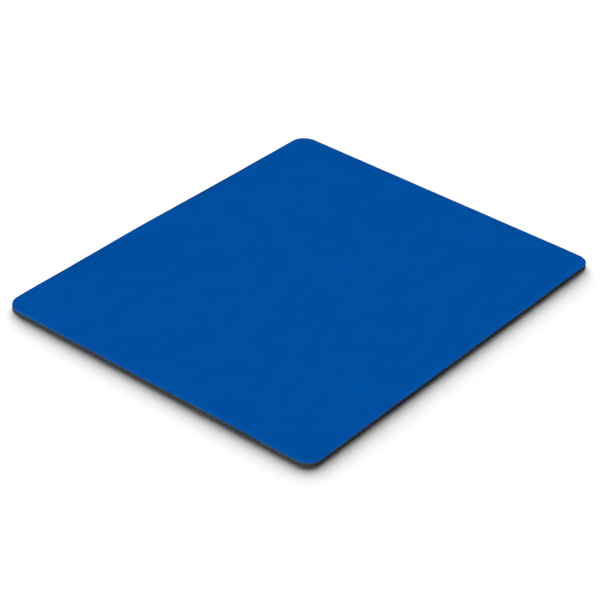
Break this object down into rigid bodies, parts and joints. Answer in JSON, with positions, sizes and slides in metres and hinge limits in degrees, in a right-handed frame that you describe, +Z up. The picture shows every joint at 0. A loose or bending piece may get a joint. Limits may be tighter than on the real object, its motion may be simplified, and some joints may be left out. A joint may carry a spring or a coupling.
{
  "type": "mouse pad",
  "caption": "Flat cloth-topped foam mouse pad with rounded corners and a non-slip rubber underside, built up from bonded sheets.",
  "frame": {"origin": "middle of the underside, on the surface that the pad lies on", "axes": "+X along the long side, +Y along the short side and away from the user, +Z up through the cloth"},
  "size_m": [0.223, 0.183, 0.0025],
  "materials": {
    "cloth": "matte fine knit",
    "film": "satin",
    "foam": "matte, open cells on the cut edge",
    "grip": "matte, embossed"
  },
  "bodies": {
    "root": {"top_cloth": "cloth", "bonding_film": "film", "foam_core": "foam", "grip_base": "grip"}
  },
  "joints": []
}
